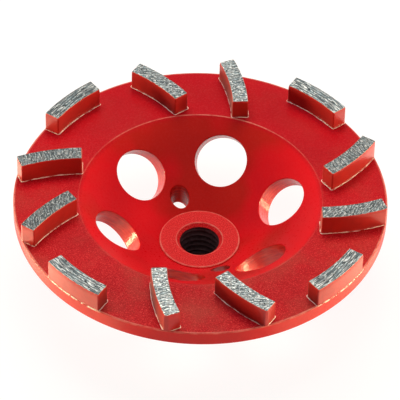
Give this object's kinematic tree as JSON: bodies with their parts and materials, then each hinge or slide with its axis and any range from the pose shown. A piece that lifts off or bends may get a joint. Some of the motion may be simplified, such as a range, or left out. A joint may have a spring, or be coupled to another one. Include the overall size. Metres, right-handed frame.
{
  "type": "diamond cup wheel",
  "caption": "Flanged steel cup carrying curved diamond grinding segments on its face, with round holes through its conical wall and a threaded hub for a grinder's spindle.",
  "frame": {"origin": "centre of the hub's back face, the lowest face of the wheel, on the wheel's axis", "axes": "+Z along the wheel's axis, from the hub's back towards the grinding segments; +X and +Y across the wheel, as in the picture seen from -Y, with +X to the right"},
  "size_m": [0.125, 0.125, 0.0415],
  "materials": {
    "red_powder_coat": "semi-gloss red powder coat with a fine texture",
    "red_hub_paint": "the same red coat over a turned face, its thread bare and dark",
    "ground_diamond_matrix": "ground grey sintered metal on top, red coat on the sides"
  },
  "bodies": {
    "root": {"cup_body": "red_powder_coat", "threaded_hub": "red_hub_paint", "segment_01": "ground_diamond_matrix", "segment_02": "ground_diamond_matrix", "segment_03": "ground_diamond_matrix", "segment_04": "ground_diamond_matrix", "segment_05": "ground_diamond_matrix", "segment_06": "ground_diamond_matrix", "segment_07": "ground_diamond_matrix", "segment_08": "ground_diamond_matrix", "segment_09": "ground_diamond_matrix", "segment_10": "ground_diamond_matrix", "segment_11": "ground_diamond_matrix", "segment_12": "ground_diamond_matrix"}
  },
  "joints": []
}
